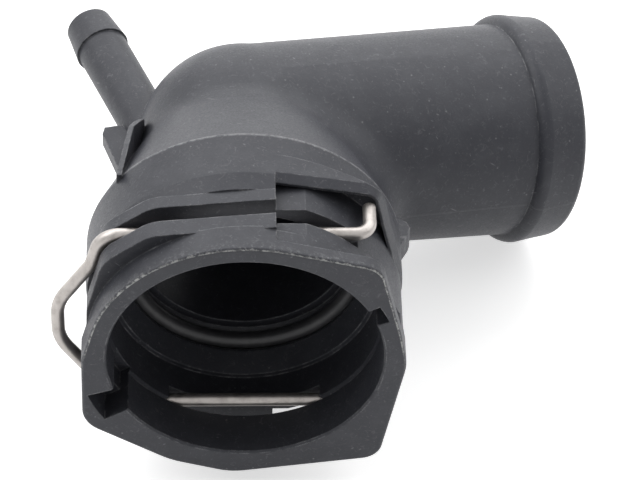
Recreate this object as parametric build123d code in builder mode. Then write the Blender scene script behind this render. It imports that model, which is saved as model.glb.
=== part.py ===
import os
from math import cos, radians, sin, tan

from build123d import *

os.makedirs("parts", exist_ok=True)

# Coolant flange: a moulded elbow with a push-in socket, a wire clip and a seal ring.
# Frame: millimetres, origin at the centre of the socket's mouth, +X towards the hose stub,
# +Y into the socket, +Z up. Top and bottom of the socket mirror each other about Z = 0.

# Socket, inside: each radius is worked out from the one before it and the step between them
bore_radius = 20.5
lead_in = 0.3
bore_step = 0.3
bore_ease = 0.6
bore_back_radius = bore_radius - bore_step
bore_depth = 15.0
funnel_step = 0.7
funnel_radius = bore_back_radius - funnel_step
funnel_drop = 1.56
funnel_end_radius = funnel_radius - funnel_drop
funnel_end = 18.4
funnel_land = 0.5
stop_step = 1.04
stop_radius = funnel_end_radius - stop_step
stop_depth = 22.6
stop_chamfer = 0.5
throat_step = 1.3
throat_radius = stop_radius - throat_step

# Socket, outside: the core is the wall round the bore, and the rest stands out from it
socket_wall = 2.43
core_radius = bore_radius + socket_wall
plate_rise = 0.47
plate_radius = core_radius + plate_rise
brow_rise = 0.27
brow_radius = core_radius + brow_rise
collar_rise = 0.87
collar_radius = core_radius + collar_rise

# Seal ring and its groove
seal_section = 1.35
seal_gap = 0.05
seal_reach = 0.29
seal_radius = funnel_end_radius - seal_reach
seal_play = 0.2
groove_radius = seal_radius + seal_section + seal_gap
groove_start = funnel_end + funnel_land
groove_end = groove_start + 2 * (seal_section + seal_play)

# Front plate of the socket; its corners as (angle, how far it stands out, rounding)
plate_length = 4.8
plate_band = 2.3
plate_flat_rise = 0.8
plate_flat = plate_radius + plate_flat_rise
plate_flat_top = -0.2
plate_flat_low = -6.5
plate_corners = (
    (44.0, 3.2, 4.0), (-6.0, 0.5, 10.0), (-47.4, 5.7, 3.4), (-95.0, 1.75, 9.0), (-118.0, 1.6, 12.0),
    (-150.0, 3.9, 5.0),
)

# Key notches in the mouth: start angle, end angle, depth into the wall
key_notches = ((-162.2, -148.6, 4.1), (21.0, 29.9, 2.0))
key_depth = 8.5
key_deep_cut = 1.5

# Clip zone between the front plate and the collar: the flank is a corner as the plate's are,
# and the rails' corners are given as (angle, how far they stand out)
flank = (0.0, 0.57, 15.0)
collar_start = 14.4
clip_middle = -0.35
slot_start = 7.4
slot_end = 10.1
rail_front = 4.4
rail_back = 12.4
rail_corners = ((122.1, 3.04), (141.41, 3.682), (164.41, 1.26), (180.0, 0.57))
rail_rounding = 6.0
park_edge = 4.4
park_cut = 1.38
park_height = core_radius - park_cut
park_width = 5.0

# Collar; its lobes stand out from it, and a cone behind trims them
collar_end = 23.4
collar_lobe_rise = 4.2
collar_lobe_reach = collar_radius + collar_lobe_rise
collar_lobe_rounding = 3.0
collar_lobe_angle = 46.0
collar_chamfer = 0.75
collar_slope = 1.5
brow_length = 3.0
lobe_cone_rise = 0.6
lobe_cone_radius = collar_lobe_reach + lobe_cone_rise
lobe_cone_start = 15.0
lobe_end = 19.5
pocket_wall = 1.2
pocket_low = 5.0
pocket_end = 17.0

# Cone, pipe and elbow
pipe_radius = 16.4
pipe_run = 4.675
cone_blend = 10.0
passage_radius = 14.1
elbow_depth = 44.975
cone_end = elbow_depth - pipe_run
elbow = Vector(0, elbow_depth, 0)

# Hose stub: way from the elbow, then points as (distance along, radius)
stub_way = Vector(0.932, 0.302, -0.199).normalized()
stub_start_radius = 16.2
bead_start = (43.2, 16.9)
bead_top = (45.1, 18.35)
bead_back = (47.6, 18.0)
stub_end = (51.5, 17.55)
stub_length = stub_end[0]
stub_end_rounding = 1.2
stub_mouth = 0.8
stub_draft = 0.1
crease_blend = 8.0

# Vent nipple: way, a point on its axis, sizes along the axis from that point
vent_way = Vector(-0.38, 0.925, 0).normalized()
vent_point = Vector(-19.6, 61.5, 0)
vent_radius = 4.02
vent_root = -17.0
vent_shoulder = 6.75
vent_shoulder_radius = 4.36
vent_taper_end = 9.93
vent_tip_radius = 3.75
vent_length = 13.1
vent_tip_chamfer = 0.5
vent_bore = 2.6

# Webs, fin and lug
web_half = 1.2
web_points = (
    (-8.0, 28.0), (-20.6, 28.0), (-20.0, 31.0), (-18.9, 38.5), (-21.8, 47.0), (-21.5, 48.5), (-17.0, 49.4),
    (-8.0, 46.0),
)
fin_thickness = 0.8
fin_line = ((-18.6, 22.6), (-17.6, 31.0), (-17.0, 37.0), (-16.3, 40.0), (-15.5, 43.4))
fin_top = ((22.6, 16.2), (24.0, 16.0), (31.0, 14.5), (37.0, 12.4), (40.0, 10.5), (43.0, 8.2), (43.4, 7.5))
lug_half = 2.0
lug_points = (
    (14.0, 20.0), (22.8, 20.0), (24.0, 22.4), (25.0, 24.3), (25.3, 25.4), (24.8, 26.6), (23.6, 27.5),
    (14.0, 27.5),
)

# Wire clip
wire_radius = 1.0
clip_plane = (slot_start + slot_end) / 2
arm_inset = 2.55
arm_height = bore_radius - arm_inset
arm_play = 0.6
slot_height = arm_height - wire_radius - arm_play
tail_inset = 4.73
tail_at = core_radius - tail_inset
tail_end = 14.5
tail_bend = 2.2
clip_bends = (
    (2.03 - core_radius, arm_height, 3.6), (0.33 - core_radius, 11.8, 4.0), (-4.87 - core_radius, 3.8, 8.0),
)
tip_chamfer = 0.3


def outline(round_radius, corners, shrink=0.0):
    """The tight band round a circle and its corner circles, in the sketch that is open."""
    Circle(round_radius - shrink)
    for angle, rise, rounding in corners:
        with PolarLocations(round_radius + rise - rounding, 1, angle):
            Circle(rounding - shrink)
    make_hull()


def along(way, start):
    """A sketch plane whose x runs along a way in space and whose y is the radius from it."""
    return Plane(origin=start, x_dir=way, z_dir=way.cross(Vector(0, 0, 1)))


lobes = tuple((side * collar_lobe_angle, collar_lobe_rise, collar_lobe_rounding) for side in (1, -1))

with BuildPart() as fin:
    # thin fin from the collar to the elbow: its plan as a strip, cut to its sloping top
    with BuildSketch(Plane.XY):
        with BuildLine():
            Polyline(*fin_line)
        trace(line_width=fin_thickness)
    extrude(amount=collar_radius)
    with BuildSketch(Plane.YZ.offset(-collar_radius)):
        Polygon(*fin_top, (fin_top[-1][0], 0), (fin_top[0][0], 0), align=None)
    extrude(amount=collar_radius, mode=Mode.INTERSECT)

with BuildPart() as collar:
    # collar with two lobes, chamfered in front, its lobes trimmed by a cone behind
    with BuildSketch(Plane.XZ.offset(-collar_start)):
        outline(collar_radius, lobes)
    extrude(amount=collar_start - lobe_end)
    front = collar.faces().sort_by(Axis.Y)[0]
    chamfer(front.edges(), collar_chamfer, collar_slope, reference=front)
    with BuildSketch(Plane.XY):
        Polygon(
            (lobe_cone_radius, lobe_cone_start), (collar_radius, lobe_end), (lobe_cone_radius, lobe_end),
            align=None,
        )
    revolve(axis=Axis.Y, mode=Mode.SUBTRACT)

with BuildPart() as brow:
    # low slope behind the rear rail, up to the collar's full radius, on the side without pockets
    with BuildSketch(Plane.XY):
        Polygon(
            (0, rail_back), (brow_radius, rail_back), (collar_radius, rail_back + brow_length),
            (collar_radius, collar_start + collar_slope), (0, collar_start + collar_slope), align=None,
        )
    revolve(axis=Axis.Y)
    split(bisect_by=Plane.YZ.offset(park_edge), keep=Keep.BOTTOM)

with BuildPart() as body:
    # front plate of the socket, with a short flat at the left
    with BuildSketch(Plane.XZ):
        Polygon((-plate_flat, plate_flat_top), (-plate_flat, plate_flat_low), (0, 0), align=None)
        outline(plate_radius, plate_corners)
    extrude(amount=-plate_length)
    fillet(body.faces().sort_by(Axis.Y)[0].edges(), 0.5)

    # cone and pipe, closed by a ball at the elbow
    with BuildSketch(Plane.XY):
        with BuildLine():
            Polyline(
                (0, elbow_depth + pipe_radius), (0, lobe_end), (collar_radius, lobe_end),
                (collar_radius, collar_end), (pipe_radius, cone_end), (pipe_radius, elbow_depth),
            )
            CenterArc((0, elbow_depth), pipe_radius, 0, 90)
        corner = make_face().vertices().sort_by_distance((pipe_radius, cone_end))[0]
        fillet(corner, cone_blend)
    revolve(axis=Axis.Y)

    # hose stub with its bead
    with BuildSketch(along(stub_way, elbow)):
        with BuildLine():
            Polyline(
                bead_start, (0, stub_start_radius), (0, 0), (stub_length, 0), stub_end, bead_back, bead_top,
            )
            TangentArc(bead_top, bead_start, tangent=(-1, 0))
        rim = make_face().vertices().sort_by_distance(stub_end)[0]
        fillet(rim, stub_end_rounding)
    revolve(axis=Axis(elbow, stub_way))
    crease = [e for e in body.edges(Select.NEW) if e.geom_type == GeomType.BSPLINE]
    fillet(crease, crease_blend)

    # collar, and the slope in front of it
    add(collar.part)
    add(brow.part)

    # core of the clip zone, with a fuller flank at the right from the plate to the collar
    with BuildSketch(Plane.XZ.offset(-plate_length / 2)):
        Circle(core_radius)
    extrude(amount=plate_length / 2 - lobe_cone_start)
    with BuildSketch(Plane.XZ.offset(-plate_length)):
        outline(core_radius, (flank,))
    extrude(amount=plate_length - collar_start)

    # two rails, one in front of the slot and one behind it
    for rail_start, rail_end in ((rail_front, slot_start), (slot_end, rail_back)):
        with BuildSketch(Plane.XZ.offset(-rail_start)):
            ways = tuple((radians(angle), core_radius + rise) for angle, rise in rail_corners)
            above = ((park_edge, collar_radius),) + tuple((r * cos(a), r * sin(a)) for a, r in ways)
            below = tuple((x, -z) for x, z in reversed(above[:-1]))
            with Locations((0, clip_middle)):
                Polygon(*above, *below, align=None)
            outer = [v for v in vertices() if v.X < 0]
            fillet(outer, rail_rounding)
        extrude(amount=rail_start - rail_end)

    # above and below: slot for the clip's arm, notch that parks its tip, and pocket behind the notch
    reach = 2 * collar_lobe_reach
    for side in (1, -1):
        with BuildSketch(Plane.XZ.offset(-slot_start)):
            with Locations((0, clip_middle + side * (slot_height + reach / 2))):
                Rectangle(2 * reach, reach)
        extrude(amount=slot_start - slot_end, mode=Mode.SUBTRACT)
        with BuildSketch(Plane.XZ.offset(-plate_band)):
            with Locations((park_edge + reach / 2, side * (pocket_low + reach / 2))):
                Rectangle(reach, reach)
            Circle(core_radius, mode=Mode.SUBTRACT)
        extrude(amount=plate_band - plate_length, mode=Mode.SUBTRACT)
        with BuildSketch(Plane.XZ.offset(-plate_length)):
            with Locations((park_edge + park_width / 2, clip_middle + side * (park_height + reach / 2))):
                Rectangle(park_width, reach)
        extrude(amount=plate_length - collar_start, mode=Mode.SUBTRACT)
        with BuildSketch(Plane.XZ.offset(-collar_start)):
            outline(collar_radius, lobes, pocket_wall)
            with Locations((park_edge + reach / 2, side * (pocket_low + reach / 2))):
                Rectangle(reach, reach, mode=Mode.INTERSECT)
            Circle(core_radius, mode=Mode.SUBTRACT)
        extrude(amount=collar_start - pocket_end, mode=Mode.SUBTRACT)
        with BuildSketch(Plane.XZ.offset(-collar_start)):
            outline(collar_radius, lobes, pocket_wall)
            with Locations((park_edge + park_width / 2, clip_middle + side * (park_height + reach / 2))):
                Rectangle(park_width, reach, mode=Mode.INTERSECT)
        extrude(amount=collar_start - pocket_end, mode=Mode.SUBTRACT)

    # left web in the parting plane, thin fin above it, lug at the right
    for points, half in ((web_points, web_half), (lug_points, lug_half)):
        with BuildSketch(Plane.XY):
            Polygon(*points, align=None)
        extrude(amount=half, both=True)

    add(fin.part)

    # vent nipple
    with BuildSketch(along(vent_way, vent_point)):
        Polygon(
            (vent_root, 0), (vent_root, vent_radius), (vent_shoulder, vent_radius),
            (vent_shoulder, vent_shoulder_radius), (vent_taper_end, vent_radius),
            (vent_length - vent_tip_chamfer, vent_tip_radius),
            (vent_length, vent_tip_radius - vent_tip_chamfer), (vent_length, 0), align=None,
        )
    revolve(axis=Axis(vent_point, vent_way))

    # inside of the socket, its seal groove and the passage round the elbow
    with BuildSketch(Plane.XY):
        with BuildLine():
            Polyline(
                (0, elbow_depth + passage_radius), (0, -1), (bore_radius + lead_in + 1, -1),
                (bore_radius, lead_in), (bore_radius, slot_start), (bore_back_radius, slot_start + bore_ease),
                (bore_back_radius, bore_depth), (funnel_radius, bore_depth), (funnel_end_radius, funnel_end),
                (funnel_end_radius, groove_start), (groove_radius, groove_start), (groove_radius, groove_end),
                (stop_radius + stop_chamfer, groove_end), (stop_radius, stop_depth),
                (throat_radius, stop_depth), (passage_radius, cone_end), (passage_radius, elbow_depth),
            )
            CenterArc((0, elbow_depth), passage_radius, 0, 90)
        make_face()
    revolve(axis=Axis.Y, mode=Mode.SUBTRACT)
    with BuildSketch(along(stub_way, elbow)):
        Polygon(
            (0, 0), (0, passage_radius - stub_draft), (stub_length - stub_mouth, passage_radius),
            (stub_length, passage_radius + stub_mouth), (stub_length, 0), align=None,
        )
    revolve(axis=Axis(elbow, stub_way), mode=Mode.SUBTRACT)
    with BuildSketch(along(vent_way, vent_point)):
        Polygon(
            (vent_root, 0), (vent_root, vent_bore), (vent_length, vent_bore), (vent_length, 0), align=None,
        )
    revolve(axis=Axis(vent_point, vent_way), mode=Mode.SUBTRACT)

    # key notches in the mouth, deep ones shallower where the wall behind the plate is thinner
    for start, end, cut in key_notches:
        for depth, deeper in ((plate_length, cut), (key_depth, key_deep_cut)):
            with BuildSketch(Plane.XZ):
                Circle(bore_radius + deeper)
                ends = tuple((reach * cos(radians(a)), reach * sin(radians(a))) for a in (start, end))
                Polygon((0, 0), *ends, align=None, mode=Mode.INTERSECT)
            extrude(amount=-depth, mode=Mode.SUBTRACT)

with BuildPart() as spring_clip:
    stations = []
    for side in (1, -1):
        half = [(tail_at, tail_end, arm_height, 0.0), (tail_at, clip_plane, arm_height, tail_bend)]
        half += [(x, clip_plane, z, bend) for x, z, bend in clip_bends]
        half = [(x, y, clip_middle + side * z, bend) for x, y, z, bend in half]
        stations += half if side > 0 else half[::-1]
    with BuildLine() as wire_line:
        last = Vector(*stations[0][:3])
        for before, here, after in zip(stations, stations[1:], stations[2:]):
            corner_point = Vector(*here[:3])
            way_in = (corner_point - Vector(*before[:3])).normalized()
            way_out = (Vector(*after[:3]) - corner_point).normalized()
            setback = here[3] * tan(radians(way_in.get_angle(way_out)) / 2)
            bend_start = corner_point - way_in * setback
            bend_end = corner_point + way_out * setback
            Line(last, bend_start)
            TangentArc(bend_start, bend_end, tangent=way_in)
            last = bend_end
        Line(last, Vector(*stations[-1][:3]))
    with BuildSketch(Plane(origin=stations[0][:3], z_dir=(0, -1, 0))):
        Circle(wire_radius)
    sweep()
    chamfer(spring_clip.faces().sort_by(Axis.Y)[-2:].edges(), tip_chamfer)

with BuildPart() as seal_ring:
    with BuildSketch(Plane.XY):
        with Locations((seal_radius, (groove_start + groove_end) / 2)):
            Circle(seal_section)
    revolve(axis=Axis.Y)

body.part.label = "body"
spring_clip.part.label = "spring_clip"
seal_ring.part.label = "seal_ring"
export_step(body.part, "parts/body.step")
export_step(spring_clip.part, "parts/spring_clip.step")
export_step(seal_ring.part, "parts/seal_ring.step")
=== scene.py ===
import bpy
import numpy as np
from mathutils import Matrix, Vector


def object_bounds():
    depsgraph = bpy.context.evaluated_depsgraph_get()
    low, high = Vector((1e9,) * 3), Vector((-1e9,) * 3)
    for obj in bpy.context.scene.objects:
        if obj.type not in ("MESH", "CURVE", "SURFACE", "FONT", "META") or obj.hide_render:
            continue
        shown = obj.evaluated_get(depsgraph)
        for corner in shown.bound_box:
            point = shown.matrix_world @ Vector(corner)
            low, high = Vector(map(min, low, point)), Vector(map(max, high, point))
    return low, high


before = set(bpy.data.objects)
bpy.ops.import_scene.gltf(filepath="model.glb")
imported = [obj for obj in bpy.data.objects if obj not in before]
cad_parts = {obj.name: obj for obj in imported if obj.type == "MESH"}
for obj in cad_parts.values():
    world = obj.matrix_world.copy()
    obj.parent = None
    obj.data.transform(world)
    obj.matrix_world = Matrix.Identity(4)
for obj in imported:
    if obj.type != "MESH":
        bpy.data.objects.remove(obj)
cad_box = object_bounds()
scene = bpy.context.scene

# Body: the elbow with its socket, stub and nipple, moulded in one piece from black glass-filled nylon.
# Its skin is a fine grain, dulled by handling: pale flecks, thin scratches, dust and scuffed corners, with
# painted highlights along the collar's ridge and the seam's lip. The mould's two halves leave a seam along
# the stub, and every edge is slightly round.


def feed(tree, node, values):
    """Sets a node's inputs by name or number, by a link where the value is another socket, and gives the
    node back."""
    for key, value in values.items():
        if isinstance(value, bpy.types.NodeSocket):
            tree.links.new(value, node.inputs[key])
        else:
            node.inputs[key].default_value = value
    return node


def noise(tree, place, scale, detail=2.0, roughness=0.5, distortion=0.0):
    """Noise from 0 to 1 over a place, its scale in cycles a metre."""
    return feed(tree, tree.nodes.new("ShaderNodeTexNoise"), {
        "Vector": place, "Scale": scale, "Detail": detail, "Roughness": roughness, "Distortion": distortion,
    }).outputs["Fac"]


def ramp(tree, value, low, high, to_low=0.0, to_high=1.0):
    """A smooth change from one number to another while the value goes from low to high."""
    node = tree.nodes.new("ShaderNodeMapRange")
    node.interpolation_type = "SMOOTHSTEP"
    return feed(tree, node, {
        "Value": value, "From Min": low, "From Max": high, "To Min": to_low, "To Max": to_high,
    }).outputs["Result"]


def reckon(tree, operation, *numbers):
    """The result of one math node on numbers or sockets."""
    node = tree.nodes.new("ShaderNodeMath")
    node.operation = operation
    return feed(tree, node, dict(enumerate(numbers))).outputs[0]


def reckon_vector(tree, operation, result, *vectors):
    """One result, Vector or Value, of one vector math node."""
    node = tree.nodes.new("ShaderNodeVectorMath")
    node.operation = operation
    return feed(tree, node, dict(enumerate(vectors))).outputs[result]


def product(tree, mask, *others):
    """Several masks multiplied together."""
    for other in others:
        mask = reckon(tree, "MULTIPLY", mask, other)
    return mask


def effect(name, inputs, outputs):
    """An empty shader node group: its tree, the sockets that come in, and the node that its masks go to."""
    tree = bpy.data.node_groups.new(name, "ShaderNodeTree")
    for label, kind in inputs.items():
        tree.interface.new_socket(label, in_out="INPUT", socket_type=kind)
    for label in outputs:
        tree.interface.new_socket(label, in_out="OUTPUT", socket_type="NodeSocketFloat")
    return tree, tree.nodes.new("NodeGroupInput").outputs, tree.nodes.new("NodeGroupOutput")


def moulded_grain():
    """Height of a moulded skin: fine noise for the spark grain over slow noise for the sinks."""
    tree, given, result = effect("moulded grain", {"Place": "NodeSocketVector"}, ["Height"])
    fine_share = 0.55
    fine = noise(tree, given["Place"], 2600, 3.0, 0.6)
    sinks = noise(tree, given["Place"], 90)
    feed(tree, result, {"Height": reckon(tree, "MULTIPLY_ADD", fine, fine_share, sinks)})
    return tree


def chosen_dots(tree, place, fineness, edge, middle, least, full):
    """Soft dots at the middles of scattered cells, kept where the cell's own random number is high."""
    cells = feed(tree, tree.nodes.new("ShaderNodeTexVoronoi"), {"Vector": place, "Scale": fineness})
    random = feed(tree, tree.nodes.new("ShaderNodeSeparateColor"), {"Color": cells.outputs["Color"]})
    dot = ramp(tree, cells.outputs["Distance"], edge, middle)
    return product(tree, dot, ramp(tree, random.outputs["Red"], least, full))


def fine_scratches():
    """Thin, nearly straight pale lines: dots in cells that are drawn out ten times along a slanted way, so
    that each is a line that fades at its ends."""
    tree, given, result = effect(
        "fine scratches",
        {"Place": "NodeSocketVector", "Turn": "NodeSocketVector", "Fineness": "NodeSocketFloat"}, ["Mask"])
    drawn_out = (0.1, 1.0, 1.0)
    turn = tree.nodes.new("ShaderNodeVectorRotate")
    turn.rotation_type = "EULER_XYZ"
    feed(tree, turn, {"Vector": given["Place"], "Rotation": given["Turn"]})
    stretch = feed(tree, tree.nodes.new("ShaderNodeMapping"), {
        "Vector": turn.outputs["Vector"], "Scale": drawn_out})
    mask = chosen_dots(tree, stretch.outputs["Vector"], given["Fineness"], 0.13, 0.02, 0.8, 0.95)
    feed(tree, result, {"Mask": mask})
    return tree


def dust_specks():
    """Pale dots scattered over the skin."""
    tree, given, result = effect(
        "dust specks", {"Place": "NodeSocketVector", "Fineness": "NodeSocketFloat"}, ["Mask"])
    mask = chosen_dots(tree, given["Place"], given["Fineness"], 0.16, 0.06, 0.86, 0.9)
    feed(tree, result, {"Mask": mask})
    return tree


def rim_wear_and_highlight():
    """The scuffed front edge of the socket's mouth: a thin pale line where the plate's outline meets the
    mouth's plane, thinned and broken by fine noise, with a soft dusting up to 2 mm behind it. A fainter pale
    line along the ridge where the collar ends and the cone starts is a painted highlight, partly a worn edge."""
    tree, given, result = effect("rim wear and highlight", {"Place": "NodeSocketVector"}, ["Line", "Dust", "Ridge Highlight"])
    outside_reach, behind_mouth, upper_half = (0.0222, 0.0226), (0.00002, 0.00005), (-0.004, 0.006)
    line_depth, sway, line_middle, dust_depth = (0.00022, 0.00006), -0.0006, 0.0003, (0.0022, 0.0)
    collar_end, ridge_half = 0.0234, (0.0004, 0.0001)
    parts = feed(tree, tree.nodes.new("ShaderNodeSeparateXYZ"), {"Vector": given["Place"]}).outputs
    across = feed(tree, tree.nodes.new("ShaderNodeCombineXYZ"), {"X": parts["X"], "Z": parts["Z"]})
    reach = reckon_vector(tree, "LENGTH", "Value", across.outputs["Vector"])
    upper_skin = product(
        tree, ramp(tree, reach, *outside_reach), ramp(tree, parts["Y"], *behind_mouth),
        ramp(tree, parts["Z"], *upper_half))
    jagged = noise(tree, given["Place"], 1500, 3.0, 0.7)
    gaps = ramp(tree, noise(tree, given["Place"], 900, 5.0, 0.75), 0.36, 0.6)
    swayed = reckon(tree, "MULTIPLY_ADD", jagged, sway, parts["Y"])
    line = ramp(tree, reckon(tree, "ADD", swayed, line_middle), *line_depth)
    band = ramp(tree, parts["Y"], *dust_depth)
    grey = ramp(tree, jagged, 0.48, 0.7)
    off_ridge = reckon(tree, "ABSOLUTE", reckon(tree, "SUBTRACT", parts["Y"], collar_end))
    feed(tree, result, {
        "Line": product(tree, line, upper_skin, gaps),
        "Dust": product(tree, band, upper_skin, grey),
        # painted highlight: a pale band along the ridge where the collar ends, partly a worn edge
        "Ridge Highlight": product(tree, ramp(tree, off_ridge, *ridge_half), upper_skin, gaps),
    })
    return tree


def stub_marks():
    """What follows the hose stub's axis: its round pipe between the elbow and the bead, and the seam that the
    mould's two halves leave along its front and back, a fine groove with a painted highlight along the lip
    under it."""
    tree, given, result = effect("stub marks", {"Place": "NodeSocketVector"}, ["Pipe", "Groove", "Lip Highlight"])
    elbow_middle, stub_axis = (0, 0.044975, 0), (0.93227, 0.30209, -0.19906)
    outside_reach, past_elbow, before_bead = (0.0152, 0.0156), (0.019, 0.023), (0.041, 0.037)
    seam_up, seam_level, groove_half = (0.168, 0, 0.986), -0.00178, (0.00012, 0.00003)
    lip_bottom, lip_top = (-0.0003, -0.00016), (-0.00004, -0.0001)
    from_elbow = reckon_vector(tree, "SUBTRACT", "Vector", given["Place"], elbow_middle)
    along = reckon_vector(tree, "DOT_PRODUCT", "Value", from_elbow, stub_axis)
    across = reckon_vector(tree, "CROSS_PRODUCT", "Vector", from_elbow, stub_axis)
    outer_skin = ramp(tree, reckon_vector(tree, "LENGTH", "Value", across), *outside_reach)
    on_stub = product(tree, ramp(tree, along, *past_elbow), outer_skin)
    height = reckon_vector(tree, "DOT_PRODUCT", "Value", given["Place"], seam_up)
    above_seam = reckon(tree, "SUBTRACT", height, seam_level)
    groove = ramp(tree, reckon(tree, "ABSOLUTE", above_seam), *groove_half)
    feed(tree, result, {
        "Pipe": product(tree, ramp(tree, along, *before_bead), on_stub),
        "Groove": product(tree, groove, on_stub),
        # painted highlight: a pale band just under the seam's groove, on its lip
        "Lip Highlight": product(tree, ramp(tree, above_seam, *lip_bottom), ramp(tree, above_seam, *lip_top), on_stub),
    })
    return tree


def placed(tree, group, values):
    """What comes out of one copy of an effect that stands in a material with its own values."""
    node = tree.nodes.new("ShaderNodeGroup")
    node.node_tree = group
    return feed(tree, node, values).outputs


def rubbed_corners(tree, place, rounded):
    """A mask that is 0 on flat skin and up to 1 on a corner: how far the rounded normal leans from the
    skin's own, broken up by noise."""
    own = tree.nodes.new("ShaderNodeNewGeometry").outputs["Normal"]
    lean = reckon_vector(tree, "DOT_PRODUCT", "Value", rounded, own)
    patches = ramp(tree, noise(tree, place, 420, 4.0, 0.7), 0.42, 0.66)
    return product(tree, ramp(tree, lean, 0.998, 0.972), patches)


def skin_relief(tree, height, strength, distance, over=None):
    """The normal that a height gives a skin, on top of another normal where one is named."""
    values = {"Height": height, "Strength": strength, "Distance": distance}
    if over is not None:
        values["Normal"] = over
    return feed(tree, tree.nodes.new("ShaderNodeBump"), values).outputs["Normal"]


def painted(tree, under, over, mask):
    """One colour laid over another where a mask is high."""
    mix = tree.nodes.new("ShaderNodeMix")
    mix.data_type = "RGBA"
    return feed(tree, mix, {"A": under, "B": (*over, 1), "Factor": mask}).outputs["Result"]


def new_finish(name):
    """A new material, its tree and its Principled BSDF."""
    material = bpy.data.materials.new(name)
    material.use_nodes = True
    return material, material.node_tree, material.node_tree.nodes["Principled BSDF"]


def own_place(tree):
    """A point's place on the piece, in metres in the part's own frame."""
    return tree.nodes.new("ShaderNodeTexCoord").outputs["Object"]


def give_finish(node, material):
    """Puts a material on a CAD piece in place of its own."""
    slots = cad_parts[node].data.materials
    slots.clear()
    slots.append(material)


nylon, tree, shader = new_finish("black moulded nylon")
place = own_place(tree)
black = (0.034, 0.0352, 0.043, 1)
edge_round, pipe_round, groove_share = 0.0003, 0.0019, -1.6
grain = placed(tree, moulded_grain(), {"Place": place})["Height"]
rim = placed(tree, rim_wear_and_highlight(), {"Place": place})
stub = placed(tree, stub_marks(), {"Place": place})
scratch = fine_scratches()
long_marks = placed(tree, scratch, {"Place": place, "Turn": (0.3, 0.5, 0.8), "Fineness": 620})["Mask"]
cross_marks = placed(tree, scratch, {"Place": place, "Turn": (0.9, -0.4, -0.7), "Fineness": 850})["Mask"]
nicks = placed(tree, scratch, {"Place": place, "Turn": (0.2, -0.9, 0.35), "Fineness": 1700})["Mask"]
specks = placed(tree, dust_specks(), {"Place": place, "Fineness": 760})["Mask"]
bevel = tree.nodes.new("ShaderNodeBevel")
bevel.samples = 6
feed(tree, bevel, {"Radius": ramp(tree, stub["Pipe"], 0.0, 1.0, edge_round, pipe_round)})
rounded = bevel.outputs["Normal"]
height = reckon(tree, "MULTIPLY_ADD", stub["Groove"], groove_share, grain)
colour = black
# Haze, flecks, scratches, nicks, the painted highlight on the seam's lip, dust specks, rubbed corners, the
# painted highlight on the collar's ridge, and the rim's dust and wear, laid one over the other: each one's
# mask, how strongly it shows and its colour.
for mask, share, pale in (
        (ramp(tree, noise(tree, place, 260, 5.0, 0.66), 0.4, 0.72), 0.04, (0.3, 0.31, 0.33)),
        (ramp(tree, noise(tree, place, 1100, 3.0, 0.7, 1.5), 0.54, 0.76), 0.2, (0.3, 0.3, 0.31)),
        (reckon(tree, "MAXIMUM", long_marks, cross_marks), 0.3, (0.34, 0.34, 0.35)),
        (nicks, 0.34, (0.36, 0.36, 0.37)),
        # painted highlight on the lip under the stub's seam
        (stub["Lip Highlight"], 0.16, (0.3, 0.3, 0.31)),
        (specks, 0.2, (0.5, 0.5, 0.5)),
        (rubbed_corners(tree, place, rounded), 0.45, (0.38, 0.38, 0.39)),
        # painted highlight along the collar's ridge, partly a worn edge
        (rim["Ridge Highlight"], 0.4, (0.4, 0.4, 0.41)),
        (rim["Dust"], 0.24, (0.4, 0.4, 0.4)),
        (rim["Line"], 0.7, (0.62, 0.62, 0.6))):
    colour = painted(tree, colour, pale, product(tree, mask, share))
feed(tree, shader, {
    "Base Color": colour,
    "Roughness": ramp(tree, noise(tree, place, 3400, 2.0, 0.6), 0.35, 0.75, 0.42, 0.56),
    "Specular IOR Level": 0.34,
    "Specular Tint": (0.975, 0.983, 1.0, 1),
    "Normal": skin_relief(tree, height, 0.35, 0.00012, rounded),
})
give_finish("body", nylon)

# Spring clip: 2 mm hard-drawn spring wire, bent cold. It lies in the slot across the socket and its tips
# turn back into the pockets. The drawn surface is a warm pale steel with dull spots.
wire, tree, shader = new_finish("drawn spring wire")
place = own_place(tree)
pale_steel, dull_steel = (0.44, 0.412, 0.392, 1), (0.3, 0.278, 0.26)
spots = ramp(tree, noise(tree, place, 500, 4.0, 0.6), 0.42, 0.75)
feed(tree, shader, {
    "Base Color": painted(tree, pale_steel, dull_steel, spots),
    "Metallic": 0.85,
    "Roughness": 0.4,
    "Normal": skin_relief(tree, noise(tree, place, 1800), 0.25, 0.0001),
})
give_finish("spring_clip", wire)

# Seal ring: a black rubber ring lying in its groove behind the socket's funnel, smooth and slightly shiny
# with assembly grease.
rubber, tree, shader = new_finish("black seal rubber")
bare_rubber, greased_rubber = (0.053, 0.053, 0.057, 1), (0.07, 0.07, 0.074)
grease = noise(tree, own_place(tree), 700)
feed(tree, shader, {
    "Base Color": painted(tree, bare_rubber, greased_rubber, ramp(tree, grease, 0.35, 0.7)),
    "Roughness": 0.4,
    "Normal": skin_relief(tree, grease, 0.15, 0.0001),
})
give_finish("seal_ring", rubber)

# Floor: a plain white lit table that the part lies on. It glows a little into the lower sides of the part,
# and more in the picture and in reflections, so that it is white round the part's faint shadow.


def in_view(tree):
    """1 for a ray that comes from the camera or from a shiny or clear surface, 0 for the light on things."""
    path = tree.nodes.new("ShaderNodeLightPath").outputs
    mirrored = reckon(tree, "MAXIMUM", path["Is Camera Ray"], path["Is Glossy Ray"])
    return reckon(tree, "MAXIMUM", mirrored, path["Is Transmission Ray"])


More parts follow.
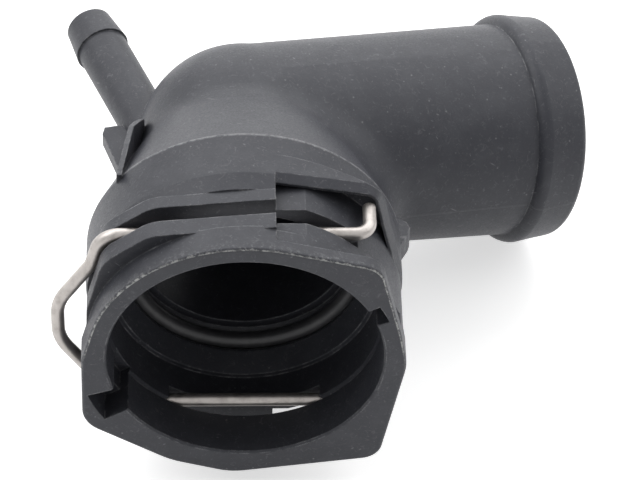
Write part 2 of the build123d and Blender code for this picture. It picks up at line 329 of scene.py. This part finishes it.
white = (1, 1, 1, 1)
gap, half = 0.0002, 1.5
level = float(cad_box[0][2]) - gap
corners = [(-half, -half, level), (half, -half, level), (half, half, level), (-half, half, level)]
floor_mesh = bpy.data.meshes.new("floor")
floor_mesh.from_pydata(corners, [], [(0, 1, 2, 3)])
floor = bpy.data.objects.new("floor", floor_mesh)
scene.collection.objects.link(floor)
sheet, tree, shader = new_finish("white sheet")
own_glow, shown_glow = 0.3, 0.3
feed(tree, shader, {
    "Base Color": (0.9, 0.9, 0.9, 1),
    "Roughness": 0.9,
    "Specular IOR Level": 0.1,
    "Emission Color": white,
    "Emission Strength": reckon(tree, "MULTIPLY_ADD", in_view(tree), shown_glow, own_glow),
})
floor_mesh.materials.append(sheet)

# Studio light: a white tent. Soft panels stand behind the part and at both sides, and the room's own
# light is weak, so the sides that face the camera stay darker than the top.
world = bpy.data.worlds.new("white tent")
scene.world = world
world.use_nodes = True
tree = world.node_tree
room = feed(tree, tree.nodes["Background"], {"Color": white, "Strength": 0.2})
seen = feed(tree, tree.nodes.new("ShaderNodeBackground"), {"Color": white, "Strength": 1.0})
tent = feed(tree, tree.nodes.new("ShaderNodeMixShader"), {
    "Fac": in_view(tree), 1: room.outputs[0], 2: seen.outputs[0]})
feed(tree, tree.nodes["World Output"], {"Surface": tent.outputs[0]})
aim = Vector((0.005, 0.03, 0.0))
for name, spot, width, watts in (
        ("back panel", (0.0, 0.72, 0.56), 1.0, 6.0),
        ("left panel", (-0.6, 0.2, 0.62), 0.8, 5.0),
        ("right panel", (0.6, 0.2, 0.62), 0.8, 3.2)):
    lamp = bpy.data.lights.new(name, "AREA")
    lamp.shape = "SQUARE"
    lamp.size = width
    lamp.energy = watts
    panel = bpy.data.objects.new(name, lamp)
    scene.collection.objects.link(panel)
    panel.location = spot
    panel.rotation_euler = (aim - Vector(spot)).to_track_quat("-Z", "Y").to_euler()

# Camera: looks down on the mouth from the front at the photograph's angle and distance. Its place and the
# way that its right side, its top and its back face are in the part's own frame.
view = bpy.data.cameras.new("camera")
view.sensor_width = 36.0
view.lens = 202.5
view.clip_start = 0.01
view.clip_end = 10.0
camera = bpy.data.objects.new("camera", view)
scene.collection.objects.link(camera)
pose = np.eye(4)
pose[:3, 0] = (0.99949, -0.02501, 0.01989)
pose[:3, 1] = (0.0039, 0.71336, 0.70079)
pose[:3, 2] = (-0.03172, -0.70035, 0.71309)
pose[:3, 3] = (-0.005761, -0.358967, 0.390774)
camera.matrix_world = Matrix(pose)
scene.camera = camera
scene.view_settings.view_transform = "Standard"
